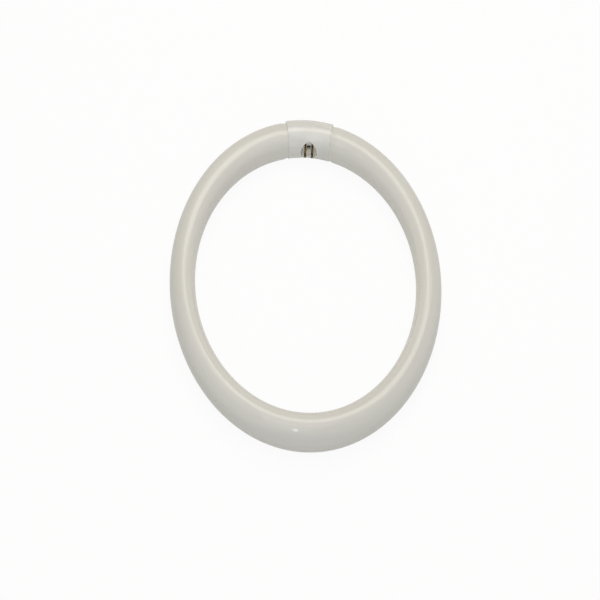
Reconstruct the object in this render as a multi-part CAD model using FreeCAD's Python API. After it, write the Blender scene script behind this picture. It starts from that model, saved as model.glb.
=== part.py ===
import FreeCAD, Part
import math
import os

from FreeCAD import Vector

# A ring-shaped fluorescent lamp with a moulded four-pin cap.
#
# The glass tube is bent to a ring whose two sealed ends come close together.
# Each end is straight and drawn in to a neck. The cap is two half shells that
# close over both necks. Between them they trap a round plug plate, which
# carries four pins in a well that opens towards the middle of the ring. A lead
# wire runs from each tube end's stem into the bore of each pin on its own side.
#
# Frame: the ring lies flat. Z is the ring's axis, the cap is at +Y, and the
# pins point to -Y. X and Y are measured from the ring's axis, and Z = 0 is
# the surface that the cap rests on.

# Glass tube
RING_RADIUS = 138.0          # ring's axis to the middle of the tube
TUBE_DIAMETER = 28.6         # outside of the glass, nine eighths of an inch
END_SPACING = 29.0           # between the two sealed rims, at the tube's middle line
NECK_DRAW = 0.6              # how much smaller the neck's radius is
NECK_TAPER_LENGTH = 7.0      # from the end of the bend to the neck, which starts at the cap
SHOULDER_RADIUS = 3.5        # rounding of the sealed end's rim
RIM_WIDTH = 1.0              # rim between the shoulder and the funnel
FUNNEL_DEPTH = 5.0           # how far the stem's funnel goes back from the rim
FUNNEL_FLOOR_RADIUS = 4.4    # flat floor of the funnel, where the wires come out
EXHAUST_DIAMETER = 4.0       # sealed-off exhaust tube in the middle of the stem
EXHAUST_LENGTH = 8.0
EXHAUST_ROUNDING = 1.6

# Cap shells
CAP_LENGTH = 51.0            # along the tube's middle line
CAP_WALL = 0.8               # round the hollow middle, between the sealed rims
COLLAR_WALL = 1.0            # round the necks; thicker on one side, because the necks are straight
CAP_CLEARANCE = 0.1          # between the neck and the cap's bore
CAP_EDGE_ROUNDING = 0.35
SEAM_CHAMFER = 0.15          # edge break on both halves along the parting plane
GATE_DIAMETER = 3.2          # moulding gate's shallow dimple, top and bottom
GATE_DEPTH = 0.25

# Well round the pins
WELL_DIAMETER = 19.0
WELL_DEPTH = 6.4             # from the cap's inner side to the plug plate
WELL_EDGE_ROUNDING = 0.4
SKIRT_WALL = 1.8
SKIRT_LENGTH_BEHIND_FLOOR = 5.0

# Plug plate
PLATE_CLEARANCE = 0.1        # round the plate, its flange and its groove
PLATE_THICKNESS = 2.5
FLANGE_WIDTH = 0.7           # how far the flange reaches beyond the well's wall
FLANGE_THICKNESS = 1.5
FLANGE_SETBACK = 2.0         # flange's front face behind the well's floor
FLANGE_RING_WIDTH = 2.4      # ring that stiffens the plate's back edge
WINDOW_WIDTH = 4.6           # opening in the middle of the plate
WINDOW_HEIGHT = 5.4
WINDOW_CORNER_RADIUS = 0.8

# Pins
PIN_SPACING_ALONG = 7.92     # along the ring
PIN_SPACING_ACROSS = 6.35    # along the ring's axis
PIN_DIAMETER = 2.35
PIN_LENGTH = 7.5             # standing out of the well's floor
PIN_TIP_ROUNDING = 0.7
PIN_SHANK_DIAMETER = 2.5     # the thicker part that fills the plate's hole
PIN_CLEARANCE = 0.02         # round the shank
PIN_HEAD_DIAMETER = 3.2
PIN_HEAD_THICKNESS = 0.6
PIN_TAIL_LENGTH = 2.2        # behind the head
PIN_TAIL_DIAMETER = 1.9      # thin enough to be crimped on the wire
PIN_BORE_DEPTH = 6.3         # from the tail's end; the pin is full in front of it

# Lead wires
WIRE_DIAMETER = 0.6
WIRE_CLEARANCE = 0.05        # in the pin's bore
WIRE_BEND_RADIUS = 3.0

# Inside of the shells
RIB_THICKNESS = 1.2
RIB_CLEARANCE = 0.3          # to the rim of the glass
RIB_HEIGHT = 4.6
BOSS_DIAMETER = 4.4
BOSS_SPACING = 14.0
BOSS_OFFSET = 9.8            # from the tube's middle line, away from the ring's axis
PEG_DIAMETER = 2.0
PEG_LENGTH = 2.5
PEG_CLEARANCE = 0.1
PEG_TIP_CHAMFER = 0.3

# Sizes that follow
TUBE_RADIUS = TUBE_DIAMETER / 2
NECK_RADIUS = TUBE_RADIUS - NECK_DRAW
BORE_RADIUS = NECK_RADIUS + CAP_CLEARANCE
CAP_RADIUS = BORE_RADIUS + COLLAR_WALL
MERGE_RADIUS = CAP_RADIUS - CAP_WALL / 2
CAP_HALF_ANGLE = math.degrees(CAP_LENGTH / 2 / RING_RADIUS)
HOLLOW_HALF_ANGLE = math.degrees(END_SPACING / 2 / RING_RADIUS)
BEND_END = (CAP_LENGTH / 2 + NECK_TAPER_LENGTH) / RING_RADIUS
END_LENGTH = (RING_RADIUS * math.sin(BEND_END) - END_SPACING / 2) / math.cos(BEND_END)
WELL_RADIUS = WELL_DIAMETER / 2

# A straight neck leaves the ring's circle outwards. The cap is set out by the
# mean of the neck's distance from that circle at the cap's mouth and at its rim.
MOUTH_RISE = math.hypot(RING_RADIUS, NECK_TAPER_LENGTH) - RING_RADIUS
RIM_RISE = math.hypot(RING_RADIUS, END_LENGTH) - RING_RADIUS
CAP_OFFSET = (MOUTH_RISE + RIM_RISE) / 2
CAP_MIDDLE_Y = RING_RADIUS + CAP_OFFSET
INNER_SIDE_Y = CAP_MIDDLE_Y - CAP_RADIUS
FLOOR_Y = INNER_SIDE_Y + WELL_DEPTH
PIN_TIP_Y = FLOOR_Y - PIN_LENGTH
PLATE_BACK_Y = FLOOR_Y + PLATE_THICKNESS
PIN_HEAD_BACK_Y = PLATE_BACK_Y + PIN_HEAD_THICKNESS
PIN_TAIL_Y = PIN_HEAD_BACK_Y + PIN_TAIL_LENGTH
PIN_BORE_Y = PIN_TAIL_Y - PIN_BORE_DEPTH
FLANGE_FRONT_Y = FLOOR_Y + FLANGE_SETBACK
FLANGE_BACK_Y = FLANGE_FRONT_Y + FLANGE_THICKNESS
SKIRT_BACK_Y = FLOOR_Y + SKIRT_LENGTH_BEHIND_FLOOR
PIN_BORE_RADIUS = WIRE_DIAMETER / 2 + WIRE_CLEARANCE

ORIGIN = Vector(0, 0, 0)
CAP_CENTRE = Vector(0, CAP_OFFSET, 0)
ALONG_Y = Vector(0, 1, 0)
UP = Vector(0, 0, 1)


def line(start, end):
    return Part.LineSegment(start, end).toShape()


def arc(start, middle, end):
    return Part.Arc(start, middle, end).toShape()


def face_of(edges):
    return Part.Face(Part.Wire(edges))


def corner_arc(centre, radius, start_angle, end_angle, place):
    """An arc of a profile, with its angles in degrees; place maps its two coordinates to a point."""
    angles = (start_angle, (start_angle + end_angle) / 2, end_angle)
    points = []
    for angle in angles:
        turn = math.radians(angle)
        points.append(place(centre[0] + radius * math.cos(turn), centre[1] + radius * math.sin(turn)))
    return arc(*points)


def swept_along_cap(section, half_angle):
    """A section drawn in the XZ plane beside the cap's centre, swept to both sides of the cap's middle."""
    solid = section.revolve(CAP_CENTRE, UP, 2 * half_angle)
    solid.rotate(CAP_CENTRE, UP, 90 - half_angle)
    return solid


def cap_rod(radius, half_angle):
    """A round rod that follows the cap's middle line."""
    circle = Part.makeCircle(radius, CAP_CENTRE + Vector(RING_RADIUS, 0, 0), ALONG_Y)
    return swept_along_cap(face_of([circle]), half_angle)


def upper_half():
    """A block that holds everything above the parting plane."""
    reach = 2 * CAP_LENGTH
    return Part.makeBox(reach, reach, reach, Vector(-reach / 2, RING_RADIUS - reach / 2, 0))


def cylinder_y(radius, front_y, back_y, x=0.0, z=0.0):
    return Part.makeCylinder(radius, back_y - front_y, Vector(x, front_y, z), ALONG_Y)


def tube_end_frame(side):
    """The point where the bend stops and the straight end's direction, on the +X or -X side."""
    base = Vector(side * RING_RADIUS * math.sin(BEND_END), RING_RADIUS * math.cos(BEND_END), 0)
    direction = Vector(-side * math.cos(BEND_END), math.sin(BEND_END), 0)
    return base, direction


def sealed_end(side):
    """The straight end as one turned form: taper, neck, rounded rim, the stem's funnel and exhaust tube."""
    base, direction = tube_end_frame(side)

    def place(along, out):
        return base + direction * along + UP * out

    taper_radius = (NECK_TAPER_LENGTH ** 2 + NECK_DRAW ** 2) / (4 * NECK_DRAW)
    taper_angle = math.degrees(math.asin(NECK_TAPER_LENGTH / 2 / taper_radius))
    rim_outer = NECK_RADIUS - SHOULDER_RADIUS
    rim_inner = rim_outer - RIM_WIDTH
    floor = END_LENGTH - FUNNEL_DEPTH
    exhaust_radius = EXHAUST_DIAMETER / 2
    exhaust_end = floor + EXHAUST_LENGTH
    straight = END_LENGTH - SHOULDER_RADIUS
    edges = [
        line(place(0, 0), place(0, TUBE_RADIUS)),
        corner_arc((0, TUBE_RADIUS - taper_radius), taper_radius, 90, 90 - taper_angle, place),
        corner_arc((NECK_TAPER_LENGTH, NECK_RADIUS + taper_radius), taper_radius,
                   270 - taper_angle, 270, place),
        line(place(NECK_TAPER_LENGTH, NECK_RADIUS), place(straight, NECK_RADIUS)),
        corner_arc((straight, rim_outer), SHOULDER_RADIUS, 90, 0, place),
        line(place(END_LENGTH, rim_outer), place(END_LENGTH, rim_inner)),
        line(place(END_LENGTH, rim_inner), place(floor, FUNNEL_FLOOR_RADIUS)),
        line(place(floor, FUNNEL_FLOOR_RADIUS), place(floor, exhaust_radius)),
        line(place(floor, exhaust_radius), place(exhaust_end - EXHAUST_ROUNDING, exhaust_radius)),
        corner_arc((exhaust_end - EXHAUST_ROUNDING, exhaust_radius - EXHAUST_ROUNDING),
                   EXHAUST_ROUNDING, 90, 0, place),
        line(place(exhaust_end, exhaust_radius - EXHAUST_ROUNDING), place(exhaust_end, 0)),
        line(place(exhaust_end, 0), place(0, 0)),
    ]
    return face_of(edges).revolve(base, direction, 360)


def glass_tube():
    circle = Part.makeCircle(TUBE_RADIUS, Vector(RING_RADIUS, 0, 0), ALONG_Y)
    gap = math.degrees(2 * BEND_END)
    bend = face_of([circle]).revolve(ORIGIN, UP, 360 - gap)
    bend.rotate(ORIGIN, UP, 90 + gap / 2)
    return bend.fuse([sealed_end(1), sealed_end(-1)]).removeSplitter()


def shell_section():
    """The cap's full section above the parting plane, with its outer edges broken along the seam."""
    def place(across, height):
        return CAP_CENTRE + Vector(RING_RADIUS + across, 0, height)

    seam = SEAM_CHAMFER
    reach = math.sqrt(CAP_RADIUS ** 2 - seam ** 2)
    return face_of([
        arc(place(reach, seam), place(0, CAP_RADIUS), place(-reach, seam)),
        line(place(-reach, seam), place(-reach + seam, 0)),
        line(place(-reach + seam, 0), place(reach - seam, 0)),
        line(place(reach - seam, 0), place(reach, seam)),
    ])


def end_edges(shell):
    """The outer rims of a shell's two ends."""
    found = []
    for edge in shell.Edges:
        box = edge.BoundBox
        middle = edge.CenterOfMass
        turn = math.degrees(math.atan2(abs(middle.x), middle.y - CAP_OFFSET))
        at_end = abs(turn - CAP_HALF_ANGLE) < 0.01
        if at_end and box.ZMax > CAP_RADIUS - CAP_WALL / 4:
            found.append(edge)
    return found


def neck_bore(side):
    """The straight bore that takes one neck, from outside the cap's mouth to just past the sealed rim."""
    base, direction = tube_end_frame(side)
    return Part.makeCylinder(BORE_RADIUS, END_LENGTH + RIB_CLEARANCE, base, direction)


def rim_stop(side):
    """A rib inside the shells, on the side away from the pins, that keeps a glass rim from moving in."""
    base, direction = tube_end_frame(side)
    near = base + direction * (END_LENGTH + RIB_CLEARANCE)
    outer = Part.makeCylinder(CAP_RADIUS, RIB_THICKNESS, near, direction)
    inner = Part.makeCylinder(BORE_RADIUS - RIB_HEIGHT, RIB_THICKNESS, near, direction)
    low = Vector(-CAP_LENGTH / 2, RING_RADIUS, -CAP_RADIUS)
    outside = Part.makeBox(CAP_LENGTH, 2 * CAP_RADIUS, 2 * CAP_RADIUS, low)
    return outer.cut(inner).common(outside)


def boss(side):
    """An upright post between the tube ends that carries a locating peg or its hole."""
    foot = Vector(side * BOSS_SPACING / 2, CAP_MIDDLE_Y + BOSS_OFFSET, -CAP_RADIUS)
    return Part.makeCylinder(BOSS_DIAMETER / 2, 2 * CAP_RADIUS, foot, UP)


def peg(side):
    foot = Vector(side * BOSS_SPACING / 2, CAP_MIDDLE_Y + BOSS_OFFSET, 0)
    straight = PEG_LENGTH - PEG_TIP_CHAMFER
    radius = PEG_DIAMETER / 2
    shaft = Part.makeCylinder(radius, straight, foot, UP)
    tip = Part.makeCone(radius, radius - PEG_TIP_CHAMFER, PEG_TIP_CHAMFER, foot + UP * straight, UP)
    return shaft.fuse(tip)


def peg_hole(side):
    foot = Vector(side * BOSS_SPACING / 2, CAP_MIDDLE_Y + BOSS_OFFSET, 0)
    return Part.makeCylinder(PEG_DIAMETER / 2 + PEG_CLEARANCE, PEG_LENGTH + PEG_CLEARANCE, foot, UP)


def well_skirt():
    """The wall round the well, before the well and the flange's groove are cut from it."""
    return cylinder_y(WELL_RADIUS + SKIRT_WALL, INNER_SIDE_Y, SKIRT_BACK_Y)


def well_cut():
    """The well's own space and the groove that takes the plate's flange."""
    well = cylinder_y(WELL_RADIUS, INNER_SIDE_Y - CAP_WALL, SKIRT_BACK_Y)
    groove_radius = WELL_RADIUS + FLANGE_WIDTH + PLATE_CLEARANCE
    groove = cylinder_y(groove_radius, FLANGE_FRONT_Y, FLANGE_BACK_Y + PLATE_CLEARANCE)
    return well.fuse(groove)


def well_edges(shell):
    """The mouth of the well, where its round wall meets the cap's curved outside."""
    found = []
    for edge in shell.Edges:
        points = edge.discretize(9)
        on_well = all(abs(math.hypot(p.x, p.z) - WELL_RADIUS) < 0.01 for p in points)
        on_outside = all(
            abs(math.hypot(math.hypot(p.x, p.y - CAP_OFFSET) - RING_RADIUS, p.z) - CAP_RADIUS) < 0.01
            for p in points
        )
        if on_well and on_outside:
            found.append(edge)
    return found


def cap_shell(side):
    """One half of the cap: the upper half for side 1, and its match turned over for side -1."""
    shell = swept_along_cap(shell_section(), CAP_HALF_ANGLE)
    shell = shell.makeFillet(CAP_EDGE_ROUNDING, end_edges(shell))
    hollow = cap_rod(CAP_RADIUS - CAP_WALL, HOLLOW_HALF_ANGLE)
    shell = shell.cut([hollow, neck_bore(1), neck_bore(-1)])
    inside = cap_rod(MERGE_RADIUS, CAP_HALF_ANGLE)
    fittings = [well_skirt(), rim_stop(1), rim_stop(-1), boss(1), boss(-1)]
    fittings = [piece.common(inside).common(upper_half()) for piece in fittings]
    shell = shell.fuse(fittings).cut(well_cut()).removeSplitter()
    shell = shell.makeFillet(WELL_EDGE_ROUNDING, well_edges(shell))
    gate_foot = Vector(0, CAP_MIDDLE_Y, CAP_RADIUS - GATE_DEPTH)
    shell = shell.cut(Part.makeCylinder(GATE_DIAMETER / 2, CAP_WALL, gate_foot, UP))
    if side > 0:
        return shell.cut([peg_hole(1), peg_hole(-1)])
    turned = shell.mirror(ORIGIN, UP)
    return turned.fuse([peg(1), peg(-1)]).removeSplitter()


def pin_places():
    """Each pin's name and its centre across the plate, seen from the ring's middle."""
    places = {}
    for row, z_side in (("upper", 1), ("lower", -1)):
        for column, x_side in (("left", -1), ("right", 1)):
            x = x_side * PIN_SPACING_ALONG / 2
            z = z_side * PIN_SPACING_ACROSS / 2
            places[row + "_" + column] = (x, z)
    return places


def plate_window():
    """The rounded opening in the middle of the plug plate."""
    low = Vector(-WINDOW_WIDTH / 2, FLOOR_Y, -WINDOW_HEIGHT / 2)
    depth = FLANGE_BACK_Y - FLOOR_Y
    block = Part.makeBox(WINDOW_WIDTH, depth, WINDOW_HEIGHT, low)
    corners = [edge for edge in block.Edges if abs(edge.BoundBox.YLength - depth) < 0.01]
    return block.makeFillet(WINDOW_CORNER_RADIUS, corners)


def plug_plate():
    """The round plate in the well's floor, turned with a flange that sits in the shells' groove."""
    disc = cylinder_y(WELL_RADIUS - PLATE_CLEARANCE, FLOOR_Y, FLANGE_BACK_Y)
    flange = cylinder_y(WELL_RADIUS + FLANGE_WIDTH, FLANGE_FRONT_Y, FLANGE_BACK_Y)
    hollow_radius = WELL_RADIUS + FLANGE_WIDTH - FLANGE_RING_WIDTH
    hollow = cylinder_y(hollow_radius, PLATE_BACK_Y, FLANGE_BACK_Y)
    holes = [
        cylinder_y(PIN_SHANK_DIAMETER / 2 + PIN_CLEARANCE, FLOOR_Y, PLATE_BACK_Y, x, z)
        for x, z in pin_places().values()
    ]
    return disc.fuse(flange).removeSplitter().cut([hollow, plate_window()] + holes)


def contact_pin(x, z):
    """A turned pin: rounded tip, shank in the plate, head on the plate's back, tail with the wire's bore."""
    def place(out, y):
        return Vector(x + out, y, z)

    radius = PIN_DIAMETER / 2
    shank = PIN_SHANK_DIAMETER / 2
    head = PIN_HEAD_DIAMETER / 2
    tail = PIN_TAIL_DIAMETER / 2
    bore = PIN_BORE_RADIUS
    rounding = PIN_TIP_ROUNDING
    edges = [
        line(place(0, PIN_TIP_Y), place(radius - rounding, PIN_TIP_Y)),
        corner_arc((radius - rounding, PIN_TIP_Y + rounding), rounding, -90, 0, place),
        line(place(radius, PIN_TIP_Y + rounding), place(radius, FLOOR_Y)),
        line(place(radius, FLOOR_Y), place(shank, FLOOR_Y)),
        line(place(shank, FLOOR_Y), place(shank, PLATE_BACK_Y)),
        line(place(shank, PLATE_BACK_Y), place(head, PLATE_BACK_Y)),
        line(place(head, PLATE_BACK_Y), place(head, PIN_HEAD_BACK_Y)),
        line(place(head, PIN_HEAD_BACK_Y), place(tail, PIN_HEAD_BACK_Y)),
        line(place(tail, PIN_HEAD_BACK_Y), place(tail, PIN_TAIL_Y)),
        line(place(tail, PIN_TAIL_Y), place(bore, PIN_TAIL_Y)),
        line(place(bore, PIN_TAIL_Y), place(bore, PIN_BORE_Y)),
        line(place(bore, PIN_BORE_Y), place(0, PIN_BORE_Y)),
        line(place(0, PIN_BORE_Y), place(0, PIN_TIP_Y)),
    ]
    return face_of(edges).revolve(Vector(x, 0, z), ALONG_Y, 360)


def lead_wire(x, z):
    """A wire from the stem's funnel floor along the tube, bent into the pin's bore and down to its end."""
    side = 1 if x > 0 else -1
    base, direction = tube_end_frame(side)
    start = base + direction * (END_LENGTH - FUNNEL_DEPTH) + UP * z
    run = (x - start.x) / direction.x
    corner = start + direction * run
    down = Vector(0, -1, 0)
    turn = direction.getAngle(down)
    setback = WIRE_BEND_RADIUS * math.tan(turn / 2)
    bend_start = corner - direction * setback
    bend_end = corner + down * setback
    to_centre = (down - direction).normalize()
    centre = corner + to_centre * (WIRE_BEND_RADIUS / math.cos(turn / 2))
    middle = centre - to_centre * WIRE_BEND_RADIUS
    end = Vector(x, PIN_BORE_Y, z)
    path = Part.Wire([line(start, bend_start), arc(bend_start, middle, bend_end), line(bend_end, end)])
    section = Part.Wire([Part.makeCircle(WIRE_DIAMETER / 2, start, direction)])
    return path.makePipeShell([section], True, True)


def save(name, shape):
    """Lift a piece so that the cap rests on Z = 0, and write it."""
    placed = shape.copy()
    placed.translate(UP * CAP_RADIUS)
    solids = placed.Solids
    if len(solids) == 1:
        placed = solids[0]
    print(name, "solids", len(solids), "valid", placed.isValid(), "volume", round(placed.Volume, 1))
    placed.exportStep("parts/" + name + ".step")


os.makedirs("parts", exist_ok=True)
save("glass_tube", glass_tube())
save("cap_shell_upper", cap_shell(1))
save("cap_shell_lower", cap_shell(-1))
save("plug_plate", plug_plate())
for place_name, (pin_x, pin_z) in pin_places().items():
    save("contact_pin_" + place_name, contact_pin(pin_x, pin_z))
    save("lead_wire_" + place_name, lead_wire(pin_x, pin_z))
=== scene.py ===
import math

import bmesh
import bpy
from mathutils import Matrix, Vector


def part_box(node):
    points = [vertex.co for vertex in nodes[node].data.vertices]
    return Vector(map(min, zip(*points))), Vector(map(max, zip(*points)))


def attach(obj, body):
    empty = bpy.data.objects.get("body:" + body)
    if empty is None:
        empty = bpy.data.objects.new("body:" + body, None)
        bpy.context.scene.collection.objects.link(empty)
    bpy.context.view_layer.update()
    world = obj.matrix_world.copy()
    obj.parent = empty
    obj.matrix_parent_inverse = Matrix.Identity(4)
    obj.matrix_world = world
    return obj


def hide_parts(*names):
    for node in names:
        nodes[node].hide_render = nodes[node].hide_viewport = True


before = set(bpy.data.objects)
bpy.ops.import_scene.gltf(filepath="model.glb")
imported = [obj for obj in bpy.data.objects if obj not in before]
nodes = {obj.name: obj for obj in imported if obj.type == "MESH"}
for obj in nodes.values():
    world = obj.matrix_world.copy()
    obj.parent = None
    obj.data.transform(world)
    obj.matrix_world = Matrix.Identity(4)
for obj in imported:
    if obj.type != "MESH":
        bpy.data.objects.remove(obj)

# A ring-shaped fluorescent lamp lies on a pale table: a sealed glass tube with
# a white inner coat, a moulded cap over its two ends, and a plug plate with four
# pins in the well of the cap. The glass tube's box in model.glb gives the ring's size and its place.
scene = bpy.context.scene
scene.view_settings.view_transform = "Standard"
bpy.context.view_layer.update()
glass_low, glass_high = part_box("glass_tube")
tube_radius = (glass_high.z - glass_low.z) / 2
ring_radius = -glass_low.y - tube_radius
ring_height = (glass_low.z + glass_high.z) / 2

# The camera looks down on the ring from far off in front. Its picture plane
# stays nearly upright while its line of sight points down, as in a technical
# camera, and this draws the photograph's picture, which is stretched upwards.
AIM_POINT = Vector((-0.00573, -0.01743, ring_height))
SIGHT_LENGTH = 7.1653
PICTURE_TURN = math.radians(1.51)
PICTURE_LEAN = math.radians(4.70)
PICTURE_ROLL = math.radians(2.525)
SIGHT_DROP = math.radians(48.061)
LENS_MM = 385.45
VIEW_START = 0.1
VIEW_END = 60

picture = (
    Matrix.Rotation(PICTURE_TURN, 3, "Z")
    @ Matrix.Rotation(math.pi / 2 - PICTURE_LEAN, 3, "X")
    @ Matrix.Rotation(PICTURE_ROLL, 3, "Z")
)
picture_right, picture_up, picture_normal = picture.col
sight_back = picture_normal * math.cos(SIGHT_DROP) + picture_up * math.sin(SIGHT_DROP)
camera_frame = Matrix((picture_right, picture_up, sight_back)).transposed().to_4x4()
camera_frame.translation = AIM_POINT + sight_back * SIGHT_LENGTH

tripod = bpy.data.objects.new("camera_tripod", None)
camera = bpy.data.objects.new("camera", bpy.data.cameras.new("camera"))
for thing in (tripod, camera):
    scene.collection.objects.link(thing)
camera.parent = tripod
camera.matrix_parent_inverse = camera_frame
camera.data.lens = LENS_MM
camera.data.clip_start = VIEW_START
camera.data.clip_end = VIEW_END
scene.camera = camera

# The table top is a wide matt sheet of white card. The camera and what lets
# light through see it almost as bare white, and what mirrors sees it half so.
# The rest is the card's own shade, so that the lamp's soft shadow still shows.
TABLE_RADIUS = 24.0
TABLE_SEGMENTS = 96
TABLE_COLOUR = (0.80, 0.79, 0.765, 1)
TABLE_WHITE_SHARE = 0.93
TABLE_MIRRORED_SHARE = 0.55
PLAIN_WHITE = (1, 1, 1, 1)


def new_node(tree, kind, **settings):
    made = tree.nodes.new(kind)
    for name, value in settings.items():
        setattr(made, name, value)
    return made


def feed(tree, socket, value):
    """Link another node's output to a socket, or set the socket's own value."""
    if isinstance(value, bpy.types.NodeSocket):
        tree.links.new(value, socket)
    else:
        socket.default_value = value


def calculate(tree, operation, *values):
    """A Math node whose inputs are the values given, numbers or other nodes' outputs."""
    made = new_node(tree, "ShaderNodeMath", operation=operation)
    for socket, value in zip(made.inputs, values):
        feed(tree, socket, value)
    return made.outputs[0]


def seen_directly(tree, mirrored_share):
    """1 for what is seen itself or through something clear, a share if mirrored, or else 0."""
    path = new_node(tree, "ShaderNodeLightPath").outputs
    straight = calculate(tree, "MAXIMUM", path["Is Camera Ray"], path["Is Transmission Ray"])
    mirrored = calculate(tree, "MULTIPLY", path["Is Glossy Ray"], mirrored_share)
    return calculate(tree, "MAXIMUM", straight, mirrored)


def finish_mesh(name, shape, smooth):
    """An object at the origin from a finished bmesh, which is then freed."""
    mesh = bpy.data.meshes.new(name)
    shape.to_mesh(mesh)
    shape.free()
    if smooth:
        mesh.shade_smooth()
    else:
        mesh.shade_flat()
    made = bpy.data.objects.new(name, mesh)
    scene.collection.objects.link(made)
    return made


card = bpy.data.materials.new("white_card")
card.use_nodes = True
tree = card.node_tree
tree.nodes.clear()
matt = new_node(tree, "ShaderNodeBsdfDiffuse")
matt.inputs["Color"].default_value = TABLE_COLOUR
bare_white = new_node(tree, "ShaderNodeEmission")
bare_white.inputs["Color"].default_value = PLAIN_WHITE
blend = new_node(tree, "ShaderNodeMixShader")
out = new_node(tree, "ShaderNodeOutputMaterial")
seen = seen_directly(tree, TABLE_MIRRORED_SHARE)
feed(tree, blend.inputs["Fac"], calculate(tree, "MULTIPLY", seen, TABLE_WHITE_SHARE))
feed(tree, blend.inputs[1], matt.outputs[0])
feed(tree, blend.inputs[2], bare_white.outputs[0])
feed(tree, out.inputs["Surface"], blend.outputs[0])

shape = bmesh.new()
bmesh.ops.create_circle(shape, cap_ends=True, segments=TABLE_SEGMENTS, radius=TABLE_RADIUS)
table = finish_mesh("table", shape, smooth=False)
table.data.materials.append(card)

# The room is a white tent of cloth round the table. It glows cool from the
# front and warmer and dimmer from beyond the far edge, less from the sides,
# where the cloth is far off. The camera and mirrors see it as plain white.
FRONT_GLOW = (0.82, 0.865, 0.93, 1)
FAR_GLOW = (0.63, 0.61, 0.565, 1)
SIDE_GLOW = (0, 0, 0, 1)
SIDE_DARKENING = 0.35
GLOW_BLEND_REACH = 0.8
ROOM_MIRRORED_SHARE = 1.0


def rescale(tree, value, low, high, new_low, new_high):
    """A value's range turned smoothly into another range, with its ends held."""
    made = new_node(tree, "ShaderNodeMapRange", interpolation_type="SMOOTHSTEP")
    for socket, part in zip(made.inputs, (value, low, high, new_low, new_high)):
        feed(tree, socket, part)
    return made.outputs[0]


def mix_colours(tree, share, first, second):
    made = new_node(tree, "ShaderNodeMix", data_type="RGBA")
    feed(tree, made.inputs["Factor"], share)
    feed(tree, made.inputs["A"], first)
    feed(tree, made.inputs["B"], second)
    return made.outputs["Result"]


def separate(tree, place):
    made = new_node(tree, "ShaderNodeSeparateXYZ")
    feed(tree, made.inputs[0], place)
    return made.outputs[:]


room = bpy.data.worlds.new("room")
room.use_nodes = True
scene.world = room
tree = room.node_tree
x, y, z = separate(tree, new_node(tree, "ShaderNodeTexCoord").outputs["Generated"])
farness = rescale(tree, y, -GLOW_BLEND_REACH, GLOW_BLEND_REACH, 0.0, 1.0)
glow = mix_colours(tree, farness, FRONT_GLOW, FAR_GLOW)
sideways = calculate(tree, "MULTIPLY", x, x)
glow = mix_colours(tree, calculate(tree, "MULTIPLY", sideways, SIDE_DARKENING), glow, SIDE_GLOW)
glow = mix_colours(tree, seen_directly(tree, ROOM_MIRRORED_SHARE), glow, PLAIN_WHITE)
feed(tree, tree.nodes["Background"].inputs["Color"], glow)

# Lamps hang over the table: a wide warm panel and a cooler strip overhead, a
# soft box beyond the far edge, brighter in its middle, that draws the broad
# bright line along the glass, and a narrow lamp on the near side for the spot.
LAMPS = {
    "panel_overhead": {
        "place": (0.0, 0.1, 1.1),
        "size": (1.3, 0.9),
        "radiance": 0.30,
        "colour": (1.0, 0.95, 0.87),
    },
    "strip_overhead": {
        "place": (-0.06, -0.27, 1.1),
        "size": (0.45, 0.93),
        "radiance": 0.65,
        "colour": (0.97, 0.985, 1.0),
    },
    "soft_box": {
        "place": (0.10, 0.56, 1.1),
        "size": (1.0, 0.66),
        "radiance": 1.2,
        "colour": (1.0, 0.955, 0.885),
    },
    "soft_box_middle": {
        "place": (0.13, 0.54, 1.06),
        "size": (0.6, 0.4),
        "radiance": 1.5,
        "colour": (1.0, 0.955, 0.885),
    },
    "lamp_near_edge": {
        "place": (-0.07, -0.84, 1.3),
        "size": (0.065, 0.35),
        "radiance": 5.5,
        "colour": (0.92, 0.92, 1.0),
    },
}
for name, lamp in LAMPS.items():
    data = bpy.data.lights.new(name, "AREA")
    data.shape = "RECTANGLE"
    data.size, data.size_y = lamp["size"]
    data.energy = math.pi * data.size * data.size_y * lamp["radiance"]
    data.color = lamp["colour"]
    hung = bpy.data.objects.new(name, data)
    hung.location = lamp["place"]
    hung.rotation_euler = (-hung.location).to_track_quat("-Z", "Y").to_euler()
    hung.visible_camera = False
    scene.collection.objects.link(hung)

# The tube is drawn soda-lime glass, bent hot to a ring and sealed at both
# ends, which are straight and drawn in to a neck. Its inside was washed with a
# white powder before, so it can't be seen into, and the glass shines over it.
RING_STEPS = 160
SECTION_SEGMENTS = 72
CAP_LENGTH = 0.051
END_SPACING = 0.029
NECK_DRAW = 0.0006
TAPER_LENGTH = 0.007
TAPER_STEPS = 10
SHOULDER_RADIUS = 0.0035
SHOULDER_SEGMENTS = 8
RIM_WIDTH = 0.001
FUNNEL_DEPTH = 0.005
FUNNEL_FLOOR_RADIUS = 0.0044
EXHAUST_RADIUS = 0.002
EXHAUST_LENGTH = 0.008
EXHAUST_ROUNDING = 0.0016
EXHAUST_SEGMENTS = 5
MERGE_DISTANCE = 1e-6
SHARP_EDGE = math.radians(35)

COAT_COLOUR = (0.625, 0.602, 0.540, 1)
COAT_THIN_COLOUR = (0.595, 0.572, 0.514, 1)
STREAK_SCALE = 85
STREAK_STRETCH = 0.06
GLASS_IOR = 1.5
GLASS_ROUGHNESS = (0.03, 0.08)
HAZE_SCALE = 40
WAVE_SCALE = 55
WAVE_STRETCH = 0.25
WAVE_DETAIL = 1.0
WAVE_DEPTH = 0.00004
DUST_COLOUR = (0.40, 0.38, 0.34, 1)
DUST_ROUGHNESS = 0.7
GLASS_DUST_SCALE = 260
GLASS_DUST_SHARE = 0.10
GLASS_DUST_SIZE = 0.055

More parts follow.
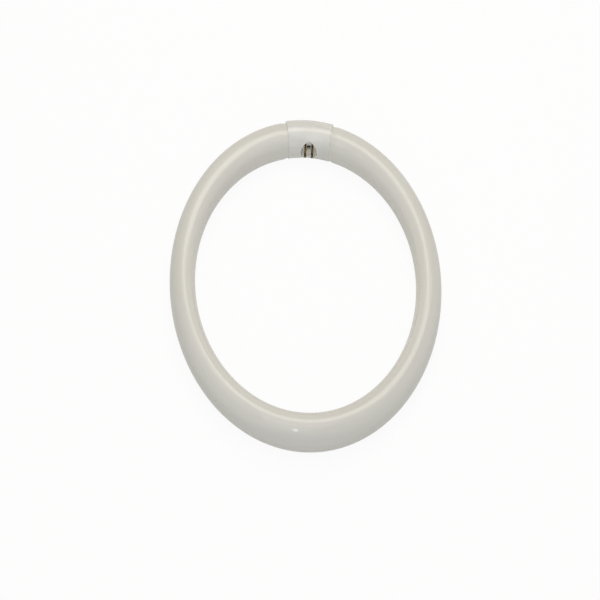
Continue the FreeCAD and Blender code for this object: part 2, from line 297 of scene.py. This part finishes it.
# One end is turned about its own straight line, swept half way round the ring,
# and mirrored to the other side. Its taper is two arcs that meet half way.
neck_radius = tube_radius - NECK_DRAW
bend_end = (CAP_LENGTH / 2 + TAPER_LENGTH) / ring_radius
end_length = (ring_radius * math.sin(bend_end) - END_SPACING / 2) / math.cos(bend_end)
end_base = Vector((math.sin(bend_end), math.cos(bend_end), 0)) * ring_radius
end_base.z = ring_height
outwards = Vector((-math.cos(bend_end), math.sin(bend_end), 0))
funnel_floor = end_length - FUNNEL_DEPTH
rim_inner = neck_radius - SHOULDER_RADIUS - RIM_WIDTH
exhaust_end = funnel_floor + EXHAUST_LENGTH

profile = []
for step in range(TAPER_STEPS + 1):
    share = step / TAPER_STEPS
    drawn = 2 * share ** 2 if share < 0.5 else 1 - 2 * (1 - share) ** 2
    profile.append((TAPER_LENGTH * share, tube_radius - NECK_DRAW * drawn))
profile += [
    (end_length, neck_radius),
    (end_length, rim_inner),
    (funnel_floor, FUNNEL_FLOOR_RADIUS),
    (funnel_floor, EXHAUST_RADIUS),
    (exhaust_end, EXHAUST_RADIUS),
    (exhaust_end, 0.0),
]
shape = bmesh.new()
corners = [shape.verts.new(end_base + outwards * along + Vector((0, 0, out))) for along, out in profile]
for here, there in zip(corners, corners[1:]):
    shape.edges.new((here, there))
shoulder = corners[TAPER_STEPS + 1]
exhaust_tip = corners[-2]
for corner, radius, segments in (
    (shoulder, SHOULDER_RADIUS, SHOULDER_SEGMENTS),
    (exhaust_tip, EXHAUST_ROUNDING, EXHAUST_SEGMENTS),
):
    bmesh.ops.bevel(
        shape, geom=[corner], offset=radius, segments=segments,
        profile=0.5, affect="VERTICES", material=-1,
    )
bmesh.ops.spin(
    shape, geom=shape.verts[:] + shape.edges[:], cent=end_base, axis=outwards,
    angle=2 * math.pi, steps=SECTION_SEGMENTS, use_merge=True,
)
bmesh.ops.remove_doubles(shape, verts=shape.verts, dist=MERGE_DISTANCE)
mouth = [edge for edge in shape.edges if edge.is_boundary]
bmesh.ops.spin(
    shape, geom=mouth, cent=Vector((0, 0, 0)), axis=Vector((0, 0, -1)),
    angle=math.pi - bend_end, steps=RING_STEPS,
)
everything = shape.verts[:] + shape.edges[:] + shape.faces[:]
bmesh.ops.mirror(shape, geom=everything, axis="X", merge_dist=MERGE_DISTANCE)
bmesh.ops.remove_doubles(shape, verts=shape.verts, dist=MERGE_DISTANCE)
bmesh.ops.recalc_face_normals(shape, faces=shape.faces)
for edge in shape.edges:
    edge.smooth = edge.calc_face_angle(0.0) < SHARP_EDGE
glass_tube = finish_mesh("coated_glass_ring", shape, smooth=True)


def new_group(name, inputs, outputs):
    """A shader node group with named sockets, and the sockets of its two end nodes."""
    group = bpy.data.node_groups.new(name, "ShaderNodeTree")
    for label, kind in inputs.items():
        group.interface.new_socket(label, in_out="INPUT", socket_type="NodeSocket" + kind)
    for label, kind in outputs.items():
        group.interface.new_socket(label, in_out="OUTPUT", socket_type="NodeSocket" + kind)
    start = new_node(group, "NodeGroupInput").outputs
    end = new_node(group, "NodeGroupOutput").inputs
    return group, start, end


def use_group(tree, group, values):
    """A node group placed in a material, with its inputs linked or set by name."""
    made = new_node(tree, "ShaderNodeGroup", node_tree=group)
    for label, value in values.items():
        feed(tree, made.inputs[label], value)
    return made.outputs


def noise(tree, place, scale, detail):
    made = new_node(tree, "ShaderNodeTexNoise")
    feed(tree, made.inputs["Vector"], place)
    feed(tree, made.inputs["Scale"], scale)
    feed(tree, made.inputs["Detail"], detail)
    return made.outputs[0]


def combine(tree, x, y, z):
    made = new_node(tree, "ShaderNodeCombineXYZ")
    for socket, value in zip(made.inputs, (x, y, z)):
        feed(tree, socket, value)
    return made.outputs[0]


def reach(tree, across, along):
    """How far two distances at right angles reach together."""
    squares = calculate(tree, "MULTIPLY_ADD", across, across, calculate(tree, "MULTIPLY", along, along))
    return calculate(tree, "SQRT", squares)


def add_bump(tree, surface, height, depth):
    """Heights from 0 to 1 as real depth in metres on the surface's normal."""
    bump = new_node(tree, "ShaderNodeBump")
    bump.inputs["Distance"].default_value = depth
    feed(tree, bump.inputs["Height"], height)
    feed(tree, surface.inputs["Normal"], bump.outputs[0])


def start_material(name):
    """A new node material, its tree, its shader and the object's own coordinates."""
    made = bpy.data.materials.new(name)
    made.use_nodes = True
    tree = made.node_tree
    place = new_node(tree, "ShaderNodeTexCoord").outputs["Object"]
    return made, tree, tree.nodes["Principled BSDF"], place


# Uneven tone: soft patches of a second colour, as in a coat, a moulding or tarnish.
PATCH_DETAIL = 3.0
PATCH_SPAN = (0.36, 0.66)
uneven_tone, start, end = new_group(
    "uneven_tone",
    {"Place": "Vector", "Scale": "Float", "First Colour": "Color", "Second Colour": "Color"},
    {"Colour": "Color"},
)
patches = noise(uneven_tone, start["Place"], start["Scale"], PATCH_DETAIL)
patches = rescale(uneven_tone, patches, *PATCH_SPAN, 0.0, 1.0)
patched = mix_colours(uneven_tone, patches, start["First Colour"], start["Second Colour"])
feed(uneven_tone, end["Colour"], patched)

# Uneven gloss: a roughness that wanders between two values from place to place.
GLOSS_DETAIL = 2.0
GLOSS_SPAN = (0.35, 0.65)
uneven_gloss, start, end = new_group(
    "uneven_gloss",
    {"Place": "Vector", "Scale": "Float", "Least": "Float", "Most": "Float"},
    {"Roughness": "Float"},
)
wandering = noise(uneven_gloss, start["Place"], start["Scale"], GLOSS_DETAIL)
wandering = rescale(uneven_gloss, wandering, *GLOSS_SPAN, start["Least"], start["Most"])
feed(uneven_gloss, end["Roughness"], wandering)

# Settled dust: sparse round specks, of which only a share of the cells has one.
SPECK_EDGE = (0.6, 1.0)
dust_specks, start, end = new_group(
    "dust_specks",
    {"Place": "Vector", "Scale": "Float", "Share": "Float", "Size": "Float"},
    {"Mask": "Float"},
)
cells = new_node(dust_specks, "ShaderNodeTexVoronoi")
feed(dust_specks, cells.inputs["Vector"], start["Place"])
feed(dust_specks, cells.inputs["Scale"], start["Scale"])
lot = separate(dust_specks, cells.outputs["Color"])[0]
drawn_cell = calculate(dust_specks, "LESS_THAN", lot, start["Share"])
nearness = calculate(dust_specks, "DIVIDE", cells.outputs["Distance"], start["Size"])
speck = rescale(dust_specks, nearness, *SPECK_EDGE, 1.0, 0.0)
feed(dust_specks, end["Mask"], calculate(dust_specks, "MULTIPLY", speck, drawn_cell))

# The coat's pattern lies along the tube: across it, up it, and round the ring
# from the side away from the cap, so that its seam lies under the cap.
glass, tree, surface, place = start_material("coated_glass")
x, y, z = separate(tree, place)
out_of_line = calculate(tree, "SUBTRACT", reach(tree, x, y), ring_radius)
above_line = calculate(tree, "SUBTRACT", z, ring_height)
turn = calculate(tree, "ARCTAN2", x, calculate(tree, "MULTIPLY", y, -1.0))
streak_place, wave_place = (
    combine(tree, out_of_line, above_line, calculate(tree, "MULTIPLY", turn, ring_radius * stretch))
    for stretch in (STREAK_STRETCH, WAVE_STRETCH)
)
coat = use_group(tree, uneven_tone, {
    "Place": streak_place, "Scale": STREAK_SCALE,
    "First Colour": COAT_COLOUR, "Second Colour": COAT_THIN_COLOUR,
})["Colour"]
specks = use_group(tree, dust_specks, {
    "Place": place, "Scale": GLASS_DUST_SCALE, "Share": GLASS_DUST_SHARE, "Size": GLASS_DUST_SIZE,
})["Mask"]
haze = use_group(tree, uneven_gloss, {
    "Place": place, "Scale": HAZE_SCALE, "Least": GLASS_ROUGHNESS[0], "Most": GLASS_ROUGHNESS[1],
})["Roughness"]
feed(tree, surface.inputs["Base Color"], mix_colours(tree, specks, coat, DUST_COLOUR))
feed(tree, surface.inputs["Roughness"], rescale(tree, specks, 0.0, 1.0, haze, DUST_ROUGHNESS))
surface.inputs["IOR"].default_value = GLASS_IOR
add_bump(tree, surface, noise(tree, wave_place, WAVE_SCALE, WAVE_DETAIL), WAVE_DEPTH)
glass_tube.data.materials.append(glass)
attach(glass_tube, "root")
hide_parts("glass_tube")

# The cap is two half shells, injection-moulded in white plastic through a gate
# in the middle of each, and closed over the necks. The satin plastic lets a
# little light in and is duller round the gate. Inside the well its colour is
# painted whiter: painted light that makes up for the shade in the well.
PLASTIC_COLOUR = (0.635, 0.621, 0.571, 1)
PLASTIC_SECOND_COLOUR = (0.605, 0.591, 0.541, 1)
# Painted light: the well's inside is coloured whiter to lift the shade in the recess.
WELL_PAINTED_LIGHT_COLOUR = (0.92, 0.905, 0.855, 1)
WELL_PAINTED_LIGHT_RADII = (0.0096, 0.0100)
PLASTIC_TONE_SCALE = 45
PLASTIC_ROUGHNESS = 0.19
PLASTIC_SHINE = 0.75
BLUSH_ROUGHNESS = 0.27
BLUSH_RADII = (0.002, 0.010)
PLASTIC_SCATTER = 0.3
PLASTIC_SCATTER_BY_COLOUR = (1, 1, 1)
PLASTIC_SCATTER_DEPTH = 0.0015
GRAIN_SCALE = 2300
GRAIN_DETAIL = 2.0
GRAIN_DEPTH = 0.000008
CAP_DUST_SCALE = 318
CAP_DUST_SHARE = 0.05
CAP_DUST_SIZE = 0.05

# Moulding grain: the mould's fine spark-eroded pits, as heights from 0 to 1.
moulding_grain, start, end = new_group(
    "moulding_grain", {"Place": "Vector", "Scale": "Float"}, {"Height": "Float"}
)
grain = noise(moulding_grain, start["Place"], start["Scale"], GRAIN_DETAIL)
feed(moulding_grain, end["Height"], grain)


def mould(tree, surface, place):
    """What the mouldings share: plastic that light enters a little way, and the grain."""
    surface.inputs["Subsurface Weight"].default_value = PLASTIC_SCATTER
    surface.inputs["Subsurface Radius"].default_value = PLASTIC_SCATTER_BY_COLOUR
    surface.inputs["Subsurface Scale"].default_value = PLASTIC_SCATTER_DEPTH
    pits = use_group(tree, moulding_grain, {"Place": place, "Scale": GRAIN_SCALE})["Height"]
    add_bump(tree, surface, pits, GRAIN_DEPTH)


cap_low, cap_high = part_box("cap_shell_upper")
gate_y = cap_high.y - (cap_high.z - cap_low.z)

plastic, tree, surface, place = start_material("cap_plastic")
x, y, z = separate(tree, place)
from_gate_y = calculate(tree, "SUBTRACT", y, gate_y)
from_gate = reach(tree, x, from_gate_y)
blush = rescale(tree, from_gate, *BLUSH_RADII, BLUSH_ROUGHNESS, PLASTIC_ROUGHNESS)
tone = use_group(tree, uneven_tone, {
    "Place": place, "Scale": PLASTIC_TONE_SCALE,
    "First Colour": PLASTIC_COLOUR, "Second Colour": PLASTIC_SECOND_COLOUR,
})["Colour"]
specks = use_group(tree, dust_specks, {
    "Place": place, "Scale": CAP_DUST_SCALE, "Share": CAP_DUST_SHARE, "Size": CAP_DUST_SIZE,
})["Mask"]
above_seam = calculate(tree, "SUBTRACT", z, ring_height)
# Mask of the well's inside, where a whiter colour is painted in as painted light against the recess's
# shade.
well_painted_light = rescale(tree, reach(tree, x, above_seam), *WELL_PAINTED_LIGHT_RADII, 1.0, 0.0)
well_painted_light = calculate(tree, "MULTIPLY", well_painted_light, calculate(tree, "LESS_THAN", y, gate_y))
tone = mix_colours(tree, well_painted_light, mix_colours(tree, specks, tone, DUST_COLOUR), WELL_PAINTED_LIGHT_COLOUR)
feed(tree, surface.inputs["Base Color"], tone)
feed(tree, surface.inputs["Roughness"], blush)
surface.inputs["Specular IOR Level"].default_value = PLASTIC_SHINE
mould(tree, surface, place)
for name in ("cap_shell_upper", "cap_shell_lower"):
    nodes[name].material_slots[0].material = plastic

# The plug plate is moulded in a harder, creamier plastic that stands the heat
# of the soldered pins. Its flange sits in the shells' groove.
PLATE_COLOURS = ((0.70, 0.675, 0.605, 1), (0.66, 0.635, 0.565, 1))
PLATE_TONE_SCALE = 120
PLATE_ROUGHNESS = (0.42, 0.52)


def mottle(tree, surface, place, scale, colours, roughness):
    """Patches of two colours, and a gloss that wanders at the same scale."""
    tone = use_group(tree, uneven_tone, {
        "Place": place, "Scale": scale, "First Colour": colours[0], "Second Colour": colours[1],
    })["Colour"]
    gloss = use_group(tree, uneven_gloss, {
        "Place": place, "Scale": scale, "Least": roughness[0], "Most": roughness[1],
    })["Roughness"]
    feed(tree, surface.inputs["Base Color"], tone)
    feed(tree, surface.inputs["Roughness"], gloss)


plate_plastic, tree, surface, place = start_material("plate_plastic")
mottle(tree, surface, place, PLATE_TONE_SCALE, PLATE_COLOURS, PLATE_ROUGHNESS)
mould(tree, surface, place)
nodes["plug_plate"].material_slots[0].material = plate_plastic

# Each pin is brass, turned on a lathe with a bore for its wire, and pressed into
# the plate. Fine rings from the tool go round it, and it has tarnished brown.
BRASS_COLOURS = ((0.185, 0.135, 0.045, 1), (0.12, 0.08, 0.026, 1))
TARNISH_SCALE = 700
BRASS_ROUGHNESS = (0.50, 0.66)
TOOL_RING_PITCH = 0.0003
TOOL_RING_DEPTH = 0.000008

brass, tree, surface, place = start_material("pin_brass")
mottle(tree, surface, place, TARNISH_SCALE, BRASS_COLOURS, BRASS_ROUGHNESS)
surface.inputs["Metallic"].default_value = 1.0
along_pin = separate(tree, place)[1]
ring_wave = calculate(tree, "SINE", calculate(tree, "MULTIPLY", along_pin, 2 * math.pi / TOOL_RING_PITCH))
add_bump(tree, surface, rescale(tree, ring_wave, -1.0, 1.0, 0.0, 1.0), TOOL_RING_DEPTH)

# The lead wires are soft tinned wire. Each comes out of the glass stem and runs
# inside the cap to the bore of its pin.
TIN_COLOURS = ((0.45, 0.43, 0.40, 1), (0.33, 0.31, 0.28, 1))
TIN_SCALE = 500
TIN_ROUGHNESS = (0.25, 0.45)

wire_metal, tree, surface, place = start_material("wire_metal")
mottle(tree, surface, place, TIN_SCALE, TIN_COLOURS, TIN_ROUGHNESS)
surface.inputs["Metallic"].default_value = 1.0

for row in ("upper", "lower"):
    for column in ("left", "right"):
        nodes[f"contact_pin_{row}_{column}"].material_slots[0].material = brass
        nodes[f"lead_wire_{row}_{column}"].material_slots[0].material = wire_metal
